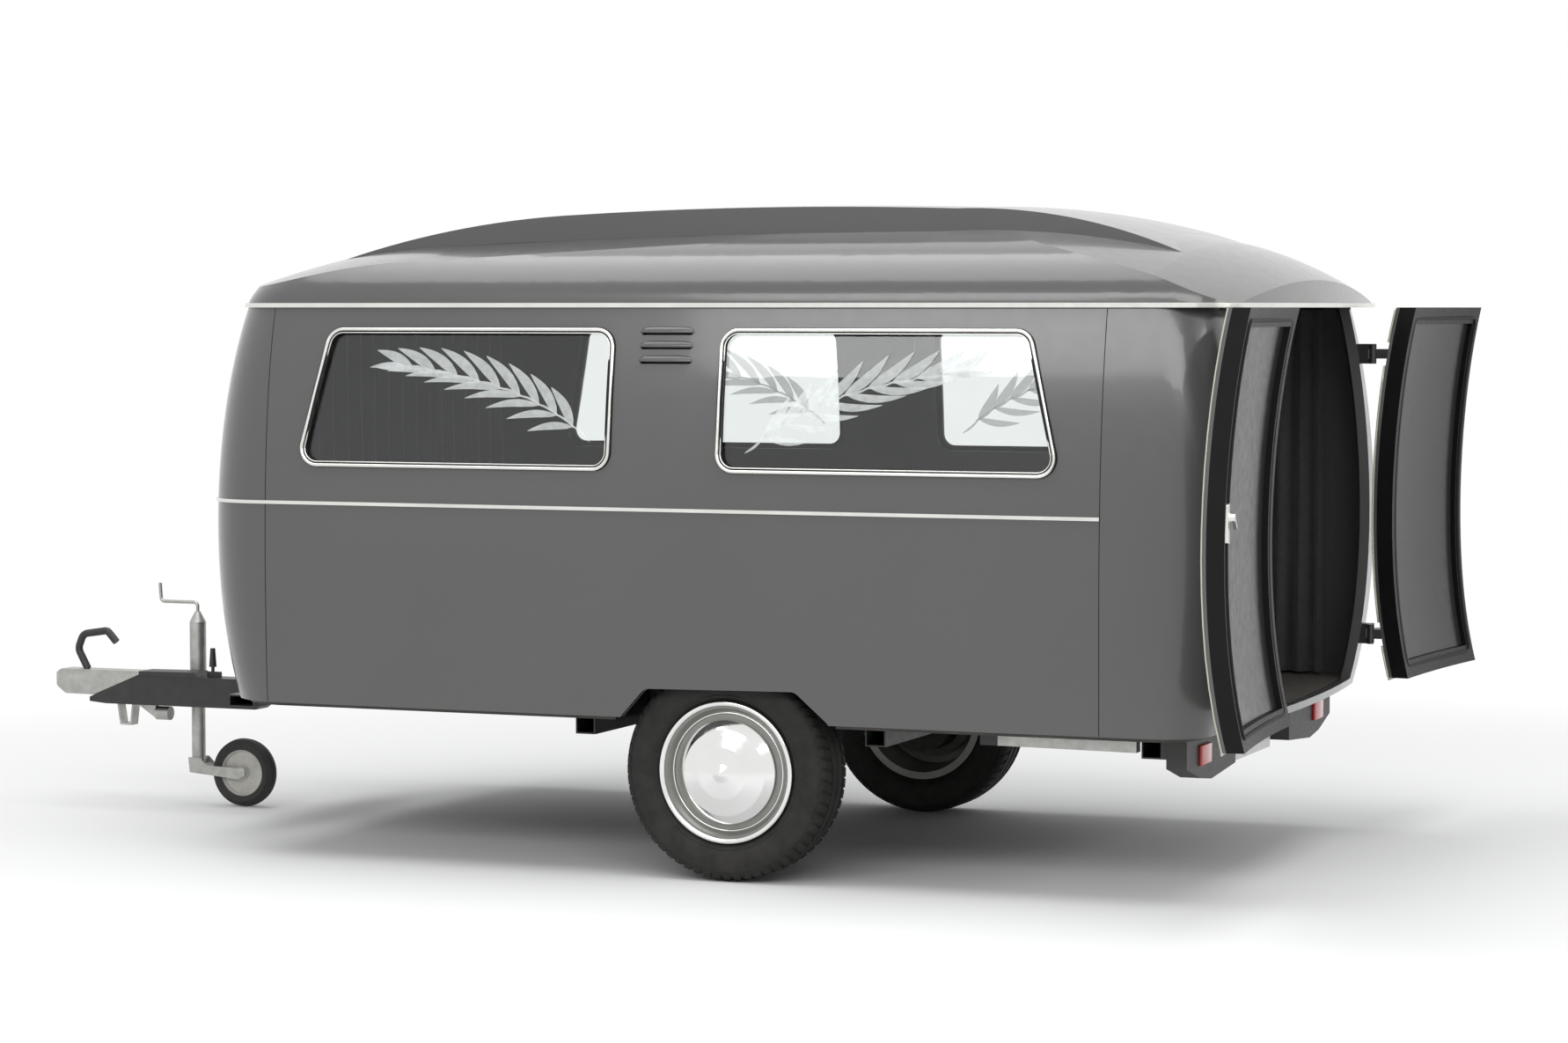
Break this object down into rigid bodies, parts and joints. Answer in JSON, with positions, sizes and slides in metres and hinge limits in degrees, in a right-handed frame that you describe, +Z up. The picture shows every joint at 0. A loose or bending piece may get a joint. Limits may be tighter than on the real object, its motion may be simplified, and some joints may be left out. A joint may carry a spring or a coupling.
{
  "type": "towed trailer hearse",
  "caption": "Small single-axle trailer hearse with a bowed body, raised roof, etched side windows, twin open rear doors and a jockey wheel.",
  "frame": {"origin": "on the ground under the middle of the axle", "axes": "+X forward to the coupling, +Y to the trailer's left, +Z up"},
  "size_m": [3.9563, 2.6727, 1.7283],
  "materials": {
    "body_paint": "satin dark grey paint on laminated panels",
    "bright_trim": "polished strip",
    "hubcap_chrome": "polished dome",
    "etched_glass": "clear glass with etched fronds",
    "floor_board": "sealed plywood deck",
    "black_plastic": "moulded, matt",
    "door_black": "black frame with seal",
    "door_lining": "gloss dark grey lining",
    "chassis_steel": "black chassis paint",
    "zinc_steel": "zinc plated",
    "drum_iron": "bare casting",
    "rim_silver": "silver grey paint",
    "tyre_rubber": "road tyre",
    "solid_rubber": "solid tyre on a steel hub",
    "plate_blank": "blank plate"
  },
  "bodies": {
    "trailer": {"axle_beam": "chassis_steel", "belt_strip": "bright_trim", "body_front": "body_paint", "brake_lever": "chassis_steel", "coupling_handle": "black_plastic", "coupling_head": "zinc_steel", "cross_members": "chassis_steel", "drawbar": "chassis_steel", "eave_strip": "bright_trim", "floor_panel": "floor_board", "glass_left": "etched_glass", "glass_right": "etched_glass", "hinge_brackets": "chassis_steel", "jockey_clamp": "zinc_steel", "jockey_crank": "zinc_steel", "jockey_tube": "zinc_steel", "light_board": "chassis_steel", "number_plate": "plate_blank", "overrun_housing": "black_plastic", "plug_holder": "zinc_steel", "rear_frame": "body_paint", "rear_lamps": "black_plastic", "roof_lower": "body_paint", "roof_raised": "body_paint", "roof_raised_front": "body_paint", "roof_raised_rear": "body_paint", "roof_raised_sides": "body_paint", "side_left": "body_paint", "side_right": "body_paint", "steady_brackets": "chassis_steel", "trailing_arms": "chassis_steel", "wheel_boxes": "black_plastic", "window_trim_left": "bright_trim", "window_trim_right": "bright_trim"},
    "wheel_left": {"tyre_left": "tyre_rubber", "rim_left": "rim_silver", "brake_drum_left": "drum_iron", "hubcap_left": "hubcap_chrome"},
    "wheel_right": {"tyre_right": "tyre_rubber", "rim_right": "rim_silver", "brake_drum_right": "drum_iron", "hubcap_right": "hubcap_chrome"},
    "door_left": {"door_skin_left": "body_paint", "door_frame_left": "door_black", "door_panel_left": "door_lining", "door_straps_left": "chassis_steel", "latch": "bright_trim"},
    "door_right": {"door_skin_right": "body_paint", "door_frame_right": "door_black", "door_panel_right": "door_lining", "door_straps_right": "chassis_steel", "cover_disc": "black_plastic"},
    "jockey_leg": {"jockey_leg": "zinc_steel"},
    "jockey_wheel": {"jockey_wheel": "solid_rubber"},
    "steady_left": {"steady_left": "zinc_steel"},
    "steady_right": {"steady_right": "zinc_steel"}
  },
  "joints": [
    {"name": "wheel_left_spin", "type": "hinge", "parent": "trailer", "child": "wheel_left", "pos_m": [0, 0.73, 0.28], "axis": [0, 1, 0], "continuous": true},
    {"name": "wheel_right_spin", "type": "hinge", "parent": "trailer", "child": "wheel_right", "pos_m": [0, -0.73, 0.28], "axis": [0, 1, 0], "continuous": true},
    {"name": "door_left_swing", "type": "hinge", "parent": "trailer", "child": "door_left", "pos_m": [-1.318, 0.648, 0.9], "axis": [0, 0, 1], "range_deg": [0, 172]},
    {"name": "door_right_swing", "type": "hinge", "parent": "trailer", "child": "door_right", "pos_m": [-1.318, -0.648, 0.9], "axis": [0, 0, -1], "range_deg": [0, 172]},
    {"name": "jockey_slide", "type": "slide", "parent": "trailer", "child": "jockey_leg", "axis": [0, 0, 1], "range_m": [0, 0.16]},
    {"name": "jockey_spin", "type": "hinge", "parent": "jockey_leg", "child": "jockey_wheel", "pos_m": [1.886, -0.07, 0.1], "axis": [0, 1, 0], "continuous": true},
    {"name": "steady_left_fold", "type": "hinge", "parent": "trailer", "child": "steady_left", "pos_m": [-0.68, 0.715, 0.385], "axis": [0, -1, 0], "range_deg": [0, 78]},
    {"name": "steady_right_fold", "type": "hinge", "parent": "trailer", "child": "steady_right", "pos_m": [-0.68, -0.715, 0.385], "axis": [0, -1, 0], "range_deg": [0, 78]}
  ]
}
